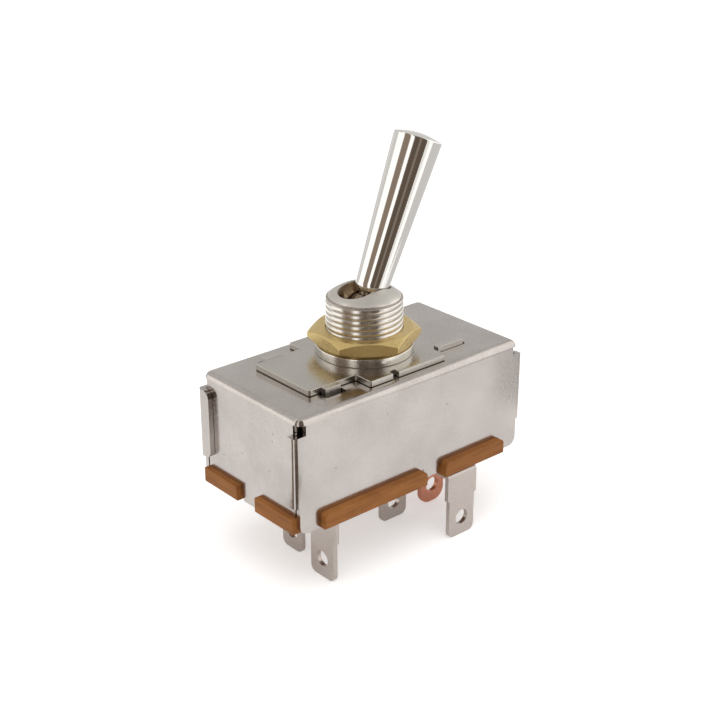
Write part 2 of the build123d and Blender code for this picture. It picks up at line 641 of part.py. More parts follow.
def contact_places():
    """Where each terminal's rivet passes through the board."""
    return {
        "front_left": (FRONT_LEFT_X + LEFT_REACH, FRONT_ROW_Y),
        "front_right": (FRONT_RIGHT_X, FRONT_ROW_Y),
        "centre_left": (CENTRE_LEFT_X + LEFT_REACH, CENTRE_ROW_Y),
        "centre": (CENTRE_X, CENTRE_ROW_Y),
        "centre_right": (CENTRE_RIGHT_X, CENTRE_ROW_Y),
    }


def contact_rivet(name):
    """Rivet whose head is the fixed contact inside, headed over under the terminal's foot."""
    x, y = contact_places()[name]
    head = rod(CONTACT_R, BOARD_TOP, CONTACT_TOP, x, y)
    head = fillet(head.edges().filter_by(GeomType.CIRCLE).sort_by(Axis.Z)[-1], CONTACT_H * 0.4)
    rivet = head + rod(SHANK_R, FOOT_UNDER, BOARD_TOP, x, y)
    tail = rod(TAIL_HEAD_R, FOOT_UNDER - TAIL_HEAD_H, FOOT_UNDER, x, y)
    tail = fillet(tail.edges().filter_by(GeomType.CIRCLE).sort_by(Axis.Z)[0], TAIL_HEAD_H * 0.5)
    return rivet + tail


def blade(width, corner_r):
    """A blade that hangs from a foot: modelled with the bend's outer face at y = 0,
    the blade in -Z and the foot towards +Y, middle at x = 0."""
    upper = width / 2 + BLADE_SHOULDER
    lower = block(-width / 2, width / 2, 0, BLADE_T, BLADE_TIP_Z, BLADE_STEP_Z)
    lower = rounded(lower, Axis.Y, corner_r, lambda e: e.center().Z < BLADE_TIP_Z + 0.01)
    top = block(-upper, upper, 0, BLADE_T, BLADE_STEP_Z, BOARD_UNDER)
    hole = Pos(0, 0, BLADE_TIP_Z + BLADE_HOLE_UP) * (Rot(90, 0, 0) * Cylinder(BLADE_HOLE_R, 4 * BLADE_T))
    return lower + top - hole


def terminal(width, corner_r, foot_reach, rivet_x, rivet_y):
    """Blade and foot in one: the foot lies under the board and takes the rivet."""
    upper = width / 2 + BLADE_SHOULDER
    foot = block(-upper, upper, 0, foot_reach, FOOT_UNDER, BOARD_UNDER)
    piece = blade(width, corner_r) + foot
    bend = piece.edges().filter_by(Axis.X).filter_by(lambda e: e.center().Y < 0.01)
    bend = bend.filter_by(lambda e: e.center().Z > BOARD_UNDER - 0.01)
    piece = fillet(bend, BLADE_BEND_R)
    piece -= rod(SHANK_R, FOOT_UNDER - 1, BOARD_UNDER + 1, rivet_x, rivet_y)
    return piece


def terminals():
    """The five blades: two square to the case, three along it."""
    places = contact_places()
    tail = TAIL_HEAD_R + FOOT_MARGIN
    pieces = {}
    # square to the case: the foot runs towards +X
    for name, blade_x, middle_y, width in (
        ("front_left", FRONT_LEFT_X, FRONT_LEFT_Y, BLADE_W),
        ("centre_left", CENTRE_LEFT_X, CENTRE_LEFT_Y, SLIM_W),
    ):
        x, y = places[name]
        piece = terminal(width, BLADE_CORNER_R, x - blade_x + tail, y - middle_y, x - blade_x)
        pieces[name] = Pos(blade_x, middle_y, 0) * mirror(Rot(0, 0, -90) * piece, Plane.XZ)
    # along the case, two in the centre row and one at the front lip: the foot runs towards +Y
    for name, blade_y, width, corner in (
        ("centre", CENTRE_BLADE_Y, BLADE_W, BLADE_CORNER_R),
        ("centre_right", CENTRE_BLADE_Y, COPPER_W, COPPER_CORNER_R),
        ("front_right", -COVER_WIDTH / 2 - LONG_LIP, BLADE_W, BLADE_CORNER_R),
    ):
        x, y = places[name]
        piece = terminal(width, corner, y - blade_y + tail, 0, y - blade_y)
        pieces[name] = Pos(x, blade_y, 0) * piece
    return pieces


def all_parts():
    """Every piece by the name of its node."""
    parts = {
        "cover": cover(),
        "base_board": base_board(),
        "mounting_plate": mounting_plate(),
        "bushing": bushing(),
        "hex_nut": hex_nut(),
        "toggle_lever": toggle_lever(),
        "pivot_pin": pivot_pin(),
        "lever_retainer": lever_retainer(),
        "inner_frame": inner_frame(),
        "detent_spring": detent_spring(),
        "detent_rivet": detent_rivet(),
        "contact_carriage": carriage(),
    }
    for row in contact_rows():
        parts[f"{row}_contact_bar"] = contact_bar(row)
        parts[f"{row}_spring_left"] = contact_spring(row, -1)
        parts[f"{row}_spring_right"] = contact_spring(row, 1)
    blades = terminals()
    for name in contact_places():
        parts[f"{name}_terminal"] = blades[name]
        parts[f"{name}_contact"] = contact_rivet(name)
    return parts


os.makedirs("parts", exist_ok=True)
for node, shape in all_parts().items():
    export_step(shape, f"parts/{node}.step")
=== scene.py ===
import math

import bmesh
import bpy
import numpy as np
from mathutils import Matrix, Vector


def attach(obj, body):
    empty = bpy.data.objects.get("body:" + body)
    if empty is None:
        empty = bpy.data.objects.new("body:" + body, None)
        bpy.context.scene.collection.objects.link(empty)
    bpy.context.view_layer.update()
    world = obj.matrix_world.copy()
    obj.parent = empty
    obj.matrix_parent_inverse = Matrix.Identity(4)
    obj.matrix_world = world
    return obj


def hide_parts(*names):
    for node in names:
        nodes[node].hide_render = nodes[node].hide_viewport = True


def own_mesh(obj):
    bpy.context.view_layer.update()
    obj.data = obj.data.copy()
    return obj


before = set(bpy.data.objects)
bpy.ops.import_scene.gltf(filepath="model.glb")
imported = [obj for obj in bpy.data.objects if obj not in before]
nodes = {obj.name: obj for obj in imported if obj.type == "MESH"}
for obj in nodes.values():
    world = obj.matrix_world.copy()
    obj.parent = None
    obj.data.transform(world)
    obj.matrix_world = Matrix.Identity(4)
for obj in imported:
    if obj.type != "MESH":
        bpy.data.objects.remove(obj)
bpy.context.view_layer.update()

MM = 0.001

# Sizes shared with the solids
CREST_R = 5.95
THREAD_DEPTH = 0.18
THREAD_PITCH = 0.87
THREAD_START = 0.37
DOME_R = 9.0
DOME_Z = 0.4
SEAT_R = 2.9
BORE_END = 1.3
PIVOT_Z = 5.0
LEAN = math.radians(23.1)
ROOT_R = 2.41
TIP_R = 3.77
TIP_AT = 27.05
CROWN = 0.7
NECK_R = 1.5
HANDLE_FROM = 4.0
HANDLE_END_R = 1.85
MOUTH_CLEAR = 0.12
BALL_R = 2.8
TAIL_R = 1.1
TAIL_BALL_R = 1.7
TAIL_REACH = 13.85
BLADE_TIPS = -32.1
SEAM_Z = -2.4
SHOULDER_R = 7.6
SHOULDER_FOOT = -1.4
STAKE_R = 7.0
STAKE_TOP = -4.2
STAKE_FOOT = -4.7
COLLAR_R = 6.2
FLARE_R = 5.45
SEAT_INNER_R = 5.6
BARREL_TOP = 7.8


# Mesh making

def skin(name, points, close_rows=False):
    """A surface over a grid of points (row, column, xyz): neighbouring points are joined in quads.
    Columns run round and close on themselves; rows close on themselves where close_rows is set."""
    rows, columns = points.shape[:2]
    index = np.arange(rows * columns).reshape(rows, columns)
    upper = np.roll(index, -1, axis=0)
    if not close_rows:
        index = index[:-1]
        upper = upper[:-1]
    beside = np.roll(index, -1, axis=1)
    upper_beside = np.roll(upper, -1, axis=1)
    quads = np.stack([index, beside, upper_beside, upper], axis=-1).reshape(-1, 4)
    mesh = bpy.data.meshes.new(name)
    mesh.from_pydata((points.reshape(-1, 3) * MM).tolist(), [], quads.tolist())
    mesh.update()
    return mesh


def finish_piece(name, mesh, node, finish, body="housing"):
    """Links a mesh as the dressed piece that stands for a node."""
    piece = bpy.data.objects.new(name, mesh)
    bpy.context.scene.collection.objects.link(piece)
    mesh.materials.clear()
    mesh.materials.append(finish)
    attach(piece, body)
    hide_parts(node)
    return piece


def weld_poles(mesh):
    """Merges the points that fall together at a pole and turns all faces outwards."""
    work = bmesh.new()
    work.from_mesh(mesh)
    bmesh.ops.remove_doubles(work, verts=work.verts, dist=1e-7)
    bmesh.ops.recalc_face_normals(work, faces=work.faces)
    work.to_mesh(mesh)
    work.free()


def soft_profile(corners, radius, steps=4):
    """An outline of (radius, height) corners, each rounded: points on the quadratic curve from
    one side to the other, whose middle control is the corner."""
    corners = np.asarray(corners, float)
    out = [corners[:1]]
    for before, corner, after in zip(corners[:-2], corners[1:-1], corners[2:]):
        back = before - corner
        ahead = after - corner
        cut = min(radius, 0.45 * np.hypot(*back), 0.45 * np.hypot(*ahead))
        start = corner + back / np.hypot(*back) * cut
        end = corner + ahead / np.hypot(*ahead) * cut
        t = np.linspace(0, 1, steps)[:, None]
        out.append((1 - t) ** 2 * start + 2 * t * (1 - t) * corner + t ** 2 * end)
    out.append(corners[-1:])
    return np.concatenate(out)


def polished_copy(name, node, finish, edge=0.0, body="housing", fold=32):
    """A node's own solid with its points merged, flat faces joined and cut edges broken by a hair."""
    mesh = nodes[node].data.copy()
    mesh.name = name
    work = bmesh.new()
    work.from_mesh(mesh)
    bmesh.ops.remove_doubles(work, verts=work.verts, dist=2e-6)
    bmesh.ops.dissolve_limit(work, angle_limit=math.radians(0.4), verts=work.verts, edges=work.edges)
    work.to_mesh(mesh)
    work.free()
    if "custom_normal" in mesh.attributes:
        mesh.attributes.remove(mesh.attributes["custom_normal"])
    mesh.shade_smooth()
    mesh.set_sharp_from_angle(angle=math.radians(fold))
    piece = finish_piece(name, mesh, node, finish, body)
    if edge:
        bevel = piece.modifiers.new("broken_edges", "BEVEL")
        bevel.width = edge * MM
        bevel.segments = 2
        bevel.limit_method = "ANGLE"
        bevel.angle_limit = math.radians(fold)
        bevel.harden_normals = True
        bevel.miter_outer = "MITER_ARC"
    return piece


# Texture groups, used by several finishes

def group_socket(group, name, way, kind="NodeSocketFloat", value=None):
    """Adds one named socket to a group."""
    socket = group.interface.new_socket(name, in_out=way, socket_type=kind)
    if value is not None:
        socket.default_value = value


def mottle_group():
    """Soft patches and fine grain on object coordinates, each 0 to 1 about a half."""
    group = bpy.data.node_groups.new("patches_and_grain", "ShaderNodeTree")
    group_socket(group, "Patch Size", "INPUT", value=200.0)
    group_socket(group, "Grain Size", "INPUT", value=3000.0)
    group_socket(group, "Stretch", "INPUT", "NodeSocketVector", (1.0, 1.0, 1.0))
    group_socket(group, "Patches", "OUTPUT")
    group_socket(group, "Grain", "OUTPUT")
    tree = group.nodes
    wire = group.links.new
    inside = tree.new("NodeGroupInput")
    outside = tree.new("NodeGroupOutput")
    place = tree.new("ShaderNodeTexCoord")
    stretch = tree.new("ShaderNodeVectorMath")
    stretch.operation = "MULTIPLY"
    wire(place.outputs["Object"], stretch.inputs[0])
    wire(inside.outputs["Stretch"], stretch.inputs[1])
    patches = tree.new("ShaderNodeTexNoise")
    patches.inputs["Detail"].default_value = 3.0
    grain = tree.new("ShaderNodeTexNoise")
    grain.inputs["Detail"].default_value = 2.0
    wire(stretch.outputs[0], patches.inputs["Vector"])
    wire(inside.outputs["Patch Size"], patches.inputs["Scale"])
    wire(stretch.outputs[0], grain.inputs["Vector"])
    wire(inside.outputs["Grain Size"], grain.inputs["Scale"])
    wire(patches.outputs["Fac"], outside.inputs["Patches"])
    wire(grain.outputs["Fac"], outside.inputs["Grain"])
    return group


def specks_group():
    """Sparse small specks on object coordinates: 1 in a speck, 0 between."""
    group = bpy.data.node_groups.new("sparse_specks", "ShaderNodeTree")
    group_socket(group, "Size", "INPUT", value=900.0)
    group_socket(group, "Amount", "INPUT", value=0.12)
    group_socket(group, "Specks", "OUTPUT")
    tree = group.nodes
    wire = group.links.new
    inside = tree.new("NodeGroupInput")
    outside = tree.new("NodeGroupOutput")
    place = tree.new("ShaderNodeTexCoord")
    cells = tree.new("ShaderNodeTexVoronoi")
    near = tree.new("ShaderNodeMath")
    near.operation = "LESS_THAN"
    pick = tree.new("ShaderNodeMath")
    pick.operation = "LESS_THAN"
    both = tree.new("ShaderNodeMath")
    both.operation = "MULTIPLY"
    lone = tree.new("ShaderNodeSeparateColor")
    wire(place.outputs["Object"], cells.inputs["Vector"])
    wire(inside.outputs["Size"], cells.inputs["Scale"])
    wire(cells.outputs["Distance"], near.inputs[0])
    near.inputs[1].default_value = 0.16
    wire(cells.outputs["Color"], lone.inputs[0])
    wire(lone.outputs[0], pick.inputs[0])
    wire(inside.outputs["Amount"], pick.inputs[1])
    wire(near.outputs[0], both.inputs[0])
    wire(pick.outputs[0], both.inputs[1])
    wire(both.outputs[0], outside.inputs["Specks"])
    return group


MOTTLE = mottle_group()
SPECKS = specks_group()


def new_finish(name):
    """A new material: itself, its nodes, its wiring call and its shader."""
    finish = bpy.data.materials.new(name)
    finish.use_nodes = True
    shader = finish.node_tree.nodes["Principled BSDF"]
    return finish, finish.node_tree.nodes, finish.node_tree.links.new, shader


def between(tree, wire, source, low, high):
    """Maps 0.3 to 0.7 of a texture to a range of values."""
    span = tree.new("ShaderNodeMapRange")
    span.inputs["From Min"].default_value = 0.3
    span.inputs["From Max"].default_value = 0.7
    span.inputs["To Min"].default_value = low
    span.inputs["To Max"].default_value = high
    wire(source, span.inputs["Value"])
    return span.outputs["Result"]


def tones(tree, wire, source, dark, light):
    """Mixes two colours by a texture's 0.3 to 0.7."""
    mix = tree.new("ShaderNodeMix")
    mix.data_type = "RGBA"
    mix.inputs[6].default_value = (*dark, 1)
    mix.inputs[7].default_value = (*light, 1)
    wire(between(tree, wire, source, 0.0, 1.0), mix.inputs[0])
    return mix.outputs[2]


def metal(name, dark, light, rough, relief=0.02, specks=0.0, bare=1.0):
    """A plated or bare metal: tone and gloss drift in patches, grain gives a hair of relief. A dulled
    skin is less than fully bare."""
    finish, tree, wire, shader = new_finish(name)
    texture = tree.new("ShaderNodeGroup")
    texture.node_tree = MOTTLE
    texture.inputs["Patch Size"].default_value = 150.0
    texture.inputs["Grain Size"].default_value = 2500.0
    drift = tree.new("ShaderNodeMix")
    drift.inputs[0].default_value = 0.4
    wire(texture.outputs["Patches"], drift.inputs[2])
    wire(texture.outputs["Grain"], drift.inputs[3])
    colour = tones(tree, wire, drift.outputs[0], dark, light)
    if specks:
        dots = tree.new("ShaderNodeGroup")
        dots.node_tree = SPECKS
        dots.inputs["Amount"].default_value = specks
        stain = tree.new("ShaderNodeMix")
        stain.data_type = "RGBA"
        stain.inputs[7].default_value = (*(0.82 * value for value in dark), 1)
        wire(dots.outputs["Specks"], stain.inputs[0])
        wire(colour, stain.inputs[6])
        colour = stain.outputs[2]
    wire(colour, shader.inputs["Base Color"])
    shader.inputs["Metallic"].default_value = bare
    wire(between(tree, wire, texture.outputs["Grain"], *rough), shader.inputs["Roughness"])
    bump = tree.new("ShaderNodeBump")
    bump.inputs["Strength"].default_value = 0.5
    bump.inputs["Distance"].default_value = relief * MM
    wire(texture.outputs["Grain"], bump.inputs["Height"])
    wire(bump.outputs["Normal"], shader.inputs["Normal"])
    return finish


def phenolic(name):
    """Laminated brown board: thin streaks lie in its plane, so its edges show them as lines."""
    finish, tree, wire, shader = new_finish(name)
    layers = tree.new("ShaderNodeGroup")
    layers.node_tree = MOTTLE
    layers.inputs["Patch Size"].default_value = 260.0
    layers.inputs["Grain Size"].default_value = 900.0
    layers.inputs["Stretch"].default_value = (0.5, 0.5, 4.0)
    broad = tones(tree, wire, layers.outputs["Patches"], (0.235, 0.083, 0.019), (0.36, 0.137, 0.034))
    streak = tree.new("ShaderNodeMix")
    streak.data_type = "RGBA"
    streak.inputs[7].default_value = (0.38, 0.165, 0.045, 1)
    wire(between(tree, wire, layers.outputs["Grain"], -0.1, 0.45), streak.inputs[0])
    wire(broad, streak.inputs[6])
    wire(streak.outputs[2], shader.inputs["Base Color"])
    shader.inputs["Specular IOR Level"].default_value = 0.18
    wire(between(tree, wire, layers.outputs["Grain"], 0.45, 0.65), shader.inputs["Roughness"])
    bump = tree.new("ShaderNodeBump")
    bump.inputs["Strength"].default_value = 0.4
    bump.inputs["Distance"].default_value = 0.03 * MM
    wire(layers.outputs["Grain"], bump.inputs["Height"])
    wire(bump.outputs["Normal"], shader.inputs["Normal"])
    return finish


def moulding(name, dark, light):
    """Moulded plastic with a fine matt skin."""
    finish, tree, wire, shader = new_finish(name)
    texture = tree.new("ShaderNodeGroup")
    texture.node_tree = MOTTLE
    wire(tones(tree, wire, texture.outputs["Patches"], dark, light), shader.inputs["Base Color"])
    wire(between(tree, wire, texture.outputs["Grain"], 0.45, 0.6), shader.inputs["Roughness"])
    return finish


PLATED_CASE = metal(
    "zinc_plated_case", (0.455, 0.415, 0.39), (0.585, 0.545, 0.52), (0.15, 0.22), relief=0.003, specks=0.02,
)
PLATED_STAMPING = metal(
    "zinc_plated_stamping", (0.47, 0.45, 0.41), (0.55, 0.52, 0.48), (0.20, 0.28), relief=0.004,
)
NICKEL_LEVER = metal("polished_nickel", (0.77, 0.75, 0.72), (0.81, 0.79, 0.76), (0.06, 0.10), relief=0.001)
NICKEL_THREAD = metal("nickel_on_thread", (0.66, 0.63, 0.58), (0.77, 0.74, 0.69), (0.15, 0.25), relief=0.002)
BRASS = metal(
    "brushed_brass", (0.575, 0.42, 0.165), (0.69, 0.525, 0.235), (0.26, 0.36), relief=0.002, bare=0.8,
)
BLADE_STEEL = metal("plated_blade", (0.465, 0.413, 0.38), (0.535, 0.483, 0.45), (0.26, 0.36), relief=0.003)
COPPER = metal("bare_copper", (0.50, 0.20, 0.125), (0.66, 0.32, 0.22), (0.32, 0.45), relief=0.004)
FRAME_STEEL = metal("frame_steel", (0.50, 0.48, 0.45), (0.60, 0.57, 0.54), (0.25, 0.36), relief=0.004)
INNER_STEEL = metal("inner_steel", (0.38, 0.38, 0.38), (0.48, 0.48, 0.48), (0.25, 0.4))
PHENOLIC = phenolic("brown_phenolic")
MOULDED = moulding("black_moulding", (0.02, 0.018, 0.016), (0.04, 0.036, 0.03))


def ramp(tree, wire, source, start, end):
    """Rises evenly from 0 at start to 1 at end, both in millimetres, over a length in metres."""
    span = tree.new("ShaderNodeMapRange")
    span.inputs["From Min"].default_value = start * MM
    span.inputs["From Max"].default_value = end * MM
    wire(source, span.inputs["Value"])
    return span.outputs["Result"]


def times(tree, wire, first, second):
    """Product of two masks."""
    product = tree.new("ShaderNodeMath")
    product.operation = "MULTIPLY"
    wire(first, product.inputs[0])
    wire(second, product.inputs[1])
    return product.outputs[0]


def hollow_shade_and_machined_end(finish):
    """Paints shade into the bushing's hollows: a darker, matt painted shade in the thread's grooves, golden
    brown on the mouth's wall turning dark with depth as painted shade, and a matt machined end. Grooves lie
    under the crest radius; the mouth lies inside the dome's ball and within the thread's core."""
    tree = finish.node_tree.nodes
    wire = finish.node_tree.links.new
    shader = tree["Principled BSDF"]
    place = tree.new("ShaderNodeTexCoord")
    split = tree.new("ShaderNodeSeparateXYZ")
    wire(place.outputs["Object"], split.inputs[0])
    off_axis = tree.new("ShaderNodeCombineXYZ")
    wire(split.outputs["X"], off_axis.inputs["X"])
    wire(split.outputs["Y"], off_axis.inputs["Y"])
    radius = tree.new("ShaderNodeVectorMath")
    radius.operation = "LENGTH"
    wire(off_axis.outputs[0], radius.inputs[0])
    from_ball = tree.new("ShaderNodeVectorMath")
    from_ball.operation = "DISTANCE"
    from_ball.inputs[1].default_value = (0, 0, DOME_Z * MM)
    wire(place.outputs["Object"], from_ball.inputs[0])
    off = radius.outputs["Value"]
    height = split.outputs["Z"]
    core = ramp(tree, wire, off, CREST_R - 0.5, CREST_R - 0.65)
    sunk = ramp(tree, wire, from_ball.outputs["Value"], DOME_R - 0.15, DOME_R - 0.35)
    mouth = times(tree, wire, core, sunk)
    depth = ramp(tree, wire, height, BARREL_TOP + 0.2, BARREL_TOP - 2.0)
    outside = ramp(tree, wire, off, CREST_R - 0.43, CREST_R - 0.39)
    groove = times(tree, wire, outside, ramp(tree, wire, off, CREST_R - 0.09, CREST_R - THREAD_DEPTH))
    threaded = times(tree, wire, groove, ramp(tree, wire, height, BARREL_TOP + 0.1, BARREL_TOP - 0.4))
    colour = shader.inputs["Base Color"].links[0].from_socket
    end_face = ramp(tree, wire, height, BARREL_TOP - 0.4, BARREL_TOP + 0.1)
    machined = tree.new("ShaderNodeMix")
    machined.data_type = "RGBA"
    machined.inputs[7].default_value = (0.50, 0.475, 0.44, 1)
    worn = tree.new("ShaderNodeMath")
    worn.operation = "MULTIPLY"
    worn.inputs[1].default_value = 0.4
    wire(end_face, worn.inputs[0])
    wire(worn.outputs[0], machined.inputs[0])
    wire(colour, machined.inputs[6])
    # Painted shade: the mouth's wall runs from golden brown at its brim to near black with depth.
    wall = tree.new("ShaderNodeMix")
    wall.data_type = "RGBA"
    wall.inputs[6].default_value = (0.52, 0.40, 0.26, 1)
    wall.inputs[7].default_value = (0.09, 0.068, 0.05, 1)
    wire(depth, wall.inputs[0])
    # Painted shade: the thread's grooves turn a darker grey.
    groove_shade = tree.new("ShaderNodeMix")
    groove_shade.data_type = "RGBA"
    groove_shade.inputs[7].default_value = (0.42, 0.37, 0.34, 1)
    wire(threaded, groove_shade.inputs[0])
    wire(machined.outputs[2], groove_shade.inputs[6])
    hollow = tree.new("ShaderNodeMix")
    hollow.data_type = "RGBA"
    wire(mouth, hollow.inputs[0])
    wire(groove_shade.outputs[2], hollow.inputs[6])
    wire(wall.outputs[2], hollow.inputs[7])
    wire(hollow.outputs[2], shader.inputs["Base Color"])
    gloss = shader.inputs["Roughness"].links[0].from_socket
    dull = tree.new("ShaderNodeMath")
    dull.operation = "MULTIPLY_ADD"
    dull.inputs[1].default_value = 0.25
    wire(end_face, dull.inputs[0])
    wire(gloss, dull.inputs[2])
    matt = tree.new("ShaderNodeMath")
    matt.operation = "MULTIPLY_ADD"
    matt.inputs[1].default_value = 0.3
    wire(threaded, matt.inputs[0])
    wire(dull.outputs[0], matt.inputs[2])
    wire(matt.outputs[0], shader.inputs["Roughness"])


def seam_shade(finish, shade_starts, shade_full):
    """Paints shade on a stamping's cut edge: darker towards the seam below it, between two heights."""
    tree = finish.node_tree.nodes
    wire = finish.node_tree.links.new
    shader = tree["Principled BSDF"]
    place = tree.new("ShaderNodeTexCoord")
    split = tree.new("ShaderNodeSeparateXYZ")
    wire(place.outputs["Object"], split.inputs[0])
    colour = shader.inputs["Base Color"].links[0].from_socket
    # Painted shade: the cut edge turns near black just above the seam.
    edge = tree.new("ShaderNodeMix")
    edge.data_type = "RGBA"
    edge.inputs[7].default_value = (0.075, 0.07, 0.06, 1)
    wire(ramp(tree, wire, split.outputs["Z"], shade_starts, shade_full), edge.inputs[0])
    wire(colour, edge.inputs[6])
    wire(edge.outputs[2], shader.inputs["Base Color"])


def shaded_root(finish):
    """Paints shade on the lever's ball, neck and tail, which stand deep in the bushing's mouth: everything
    nearer to the pivot than the handle's round end turns a darker brown."""
    tree = finish.node_tree.nodes
    wire = finish.node_tree.links.new
    shader = tree["Principled BSDF"]
    place = tree.new("ShaderNodeTexCoord")
    along = tree.new("ShaderNodeVectorMath")
    along.operation = "DOT_PRODUCT"
    along.inputs[1].default_value = (math.sin(LEAN), 0, math.cos(LEAN))
    wire(place.outputs["Object"], along.inputs[0])
    pivot_along = PIVOT_Z * math.cos(LEAN)
    root = ramp(tree, wire, along.outputs["Value"], pivot_along + 2.7, pivot_along + 2.2)
    colour = shader.inputs["Base Color"].links[0].from_socket
    # Painted shade: the lever's root in a darker brown.
    root_shade = tree.new("ShaderNodeMix")
    root_shade.data_type = "RGBA"
    root_shade.inputs[7].default_value = (0.26, 0.20, 0.145, 1)
    wire(root, root_shade.inputs[0])
    wire(colour, root_shade.inputs[6])
    wire(root_shade.outputs[2], shader.inputs["Base Color"])


# Painted shade goes into the bushing's grooves and mouth, onto the plate's seam edge and onto the lever's
# root.
hollow_shade_and_machined_end(NICKEL_THREAD)
seam_shade(PLATED_STAMPING, SEAM_Z + 0.2, SEAM_Z + 0.1)
shaded_root(NICKEL_LEVER)


# Bushing: one closed surface, so that its thread and mouth are true all round

def taper(along):
    """Handle's radius at a distance from the pivot: a straight line from its root to its tip."""
    return ROOT_R + (TIP_R - ROOT_R) * along / TIP_AT


def handle_radius(along, extra=0.0):
    """Neck, then the handle's round lower end (a circle's arc about the taper's start), then the
    taper, all grown by a clearance."""
    centre_r = taper(HANDLE_FROM) - HANDLE_END_R
    arc = centre_r + np.sqrt(np.maximum((HANDLE_END_R + extra) ** 2 - (HANDLE_FROM - along) ** 2, 0))
    return np.where(along >= HANDLE_FROM, taper(along) + extra, np.maximum(arc, NECK_R + extra))


def in_mouth(angle, r, z):
    """Whether a point lies in the room that the lever sweeps: its distance from the nearest axis
    that the lever can take is less than the handle's radius with its clearance."""
    x = np.abs(r * np.cos(angle))
    up = z - PIVOT_Z
    lean = np.minimum(np.arctan2(x, up), LEAN)
    along = x * np.sin(lean) + up * np.cos(lean)
    off = np.hypot(x * np.cos(lean) - up * np.sin(lean), r * np.sin(angle))
    return off < handle_radius(along, MOUTH_CLEAR)


def halve(inside, low, high):
    """Finds, for each angle, where a test turns from true at low to false at high."""
    for _ in range(40):
        middle = (low + high) / 2
        hit = inside(middle)
        low = np.where(hit, middle, low)
        high = np.where(hit, high, middle)
    return low


def dome_height(r):
    """Height of the ball-shaped top at a distance from the axis."""
    return DOME_Z + np.sqrt(DOME_R ** 2 - r ** 2)


def barrel_radius(angle, z):
    """Cylinder, then dome, less a rounded V groove along a right-handed helix: the groove's phase
    is height over pitch less the turn; it fades out on the dome."""
    outside = np.minimum(CREST_R, np.sqrt(DOME_R ** 2 - (z - DOME_Z) ** 2))
    phase = z / THREAD_PITCH - angle / (2 * math.pi) + THREAD_START
    valley = np.abs(2 * (phase - np.floor(phase)) - 1)
    fade = np.clip((BARREL_TOP - 0.05 - z) / 0.5, 0, 1)
    return outside - THREAD_DEPTH * valley ** 2 * fade


def bushing_skin():
    """Rows of the bushing's outline: from the underside outwards, over the shoulder, up the
    thread, over the dome, down the mouth and the ball's seat, and along the bore back down."""
    angle = np.linspace(0, 2 * math.pi, 288, endpoint=False)
    flat = np.ones_like(angle)
    foot = soft_profile([
        (FLARE_R, STAKE_FOOT),
        (STAKE_R, STAKE_FOOT),
        (STAKE_R, STAKE_TOP),
        (COLLAR_R, STAKE_TOP),
        (COLLAR_R, SHOULDER_FOOT),
        (SHOULDER_R, SHOULDER_FOOT),
        (SHOULDER_R, 0.0),
        (SEAT_INNER_R, 0.0),
    ], 0.16)
    rows = [(r * flat, z * flat) for r, z in foot]
    for z in np.linspace(0.06, BARREL_TOP, 170):
        rows.append((barrel_radius(angle, z), z * flat))
    brow = math.sqrt(DOME_R ** 2 - (BARREL_TOP - DOME_Z) ** 2)
    lip = halve(lambda r: in_mouth(angle, r, dome_height(r)), 0.2 * flat, 5.5 * flat)
    soft = 0.2
    for t in np.linspace(0, 1, 14)[1:]:
        r = brow + (lip + soft - brow) * t
        rows.append((r, dome_height(r)))
    edge = dome_height(lip + soft)
    for t in np.radians(np.linspace(0, 90, 7)[1:]):
        rows.append((lip + soft * (1 - np.sin(t)), edge - soft * (1 - np.cos(t))))
    top = edge - soft
    low = PIVOT_Z + halve(
        lambda up: ~in_mouth(angle, np.sqrt(SEAT_R ** 2 - up ** 2), PIVOT_Z + up),
        0.05 * flat, 0.98 * SEAT_R * flat,
    )
    for t in np.linspace(0, 1, 12)[1:]:
        z = top + (low - top) * t
        rows.append((halve(lambda r: in_mouth(angle, r, z), 0.2 * flat, 7.0 * flat), z))
    start = np.arcsin((low - PIVOT_Z) / SEAT_R)
    for t in np.linspace(1, 0, 10)[1:]:
        rows.append((SEAT_R * np.cos(start * t), PIVOT_Z + SEAT_R * np.sin(start * t)))
    rows.append((SEAT_R * flat, BORE_END * flat))
    r = np.array([row[0] for row in rows])
    z = np.array([row[1] for row in rows])
    return np.stack([r * np.cos(angle), r * np.sin(angle), z], axis=-1)


bushing_mesh = skin("bushing_turned", bushing_skin(), close_rows=True)
weld_poles(bushing_mesh)
bushing_mesh.shade_smooth()
finish_piece("bushing_turned", bushing_mesh, "bushing", NICKEL_THREAD)


# Lever: handle, neck, ball and tail in one turned surface

